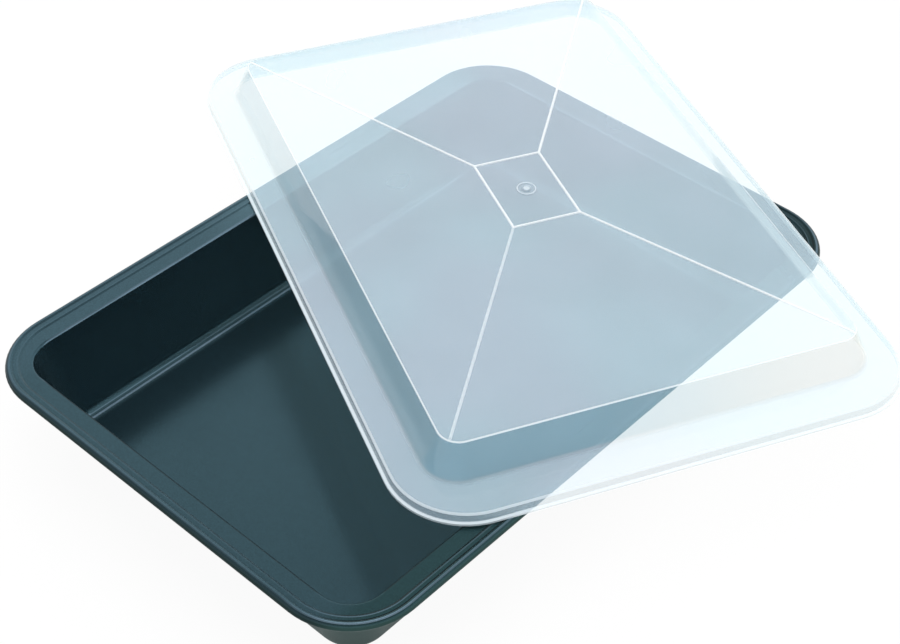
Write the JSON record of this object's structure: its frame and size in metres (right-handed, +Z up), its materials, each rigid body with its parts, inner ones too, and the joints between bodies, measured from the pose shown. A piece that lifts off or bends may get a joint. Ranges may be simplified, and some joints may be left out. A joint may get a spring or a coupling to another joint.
{
  "type": "baking tray with lid",
  "caption": "Rectangular non-stick baking tray with a rolled rim, its clear plastic lid lying turned across it.",
  "frame": {"origin": "centre of the tray's flat underside, where it stands", "axes": "+Z up out of the tray, X along the tray's long side, Y along its short side"},
  "size_m": [0.4461, 0.4238, 0.0754],
  "materials": {
    "coated_steel": "satin",
    "clear_plastic": "gloss"
  },
  "bodies": {
    "root": {"baking_tray": "coated_steel", "clear_lid": "clear_plastic"}
  },
  "joints": []
}
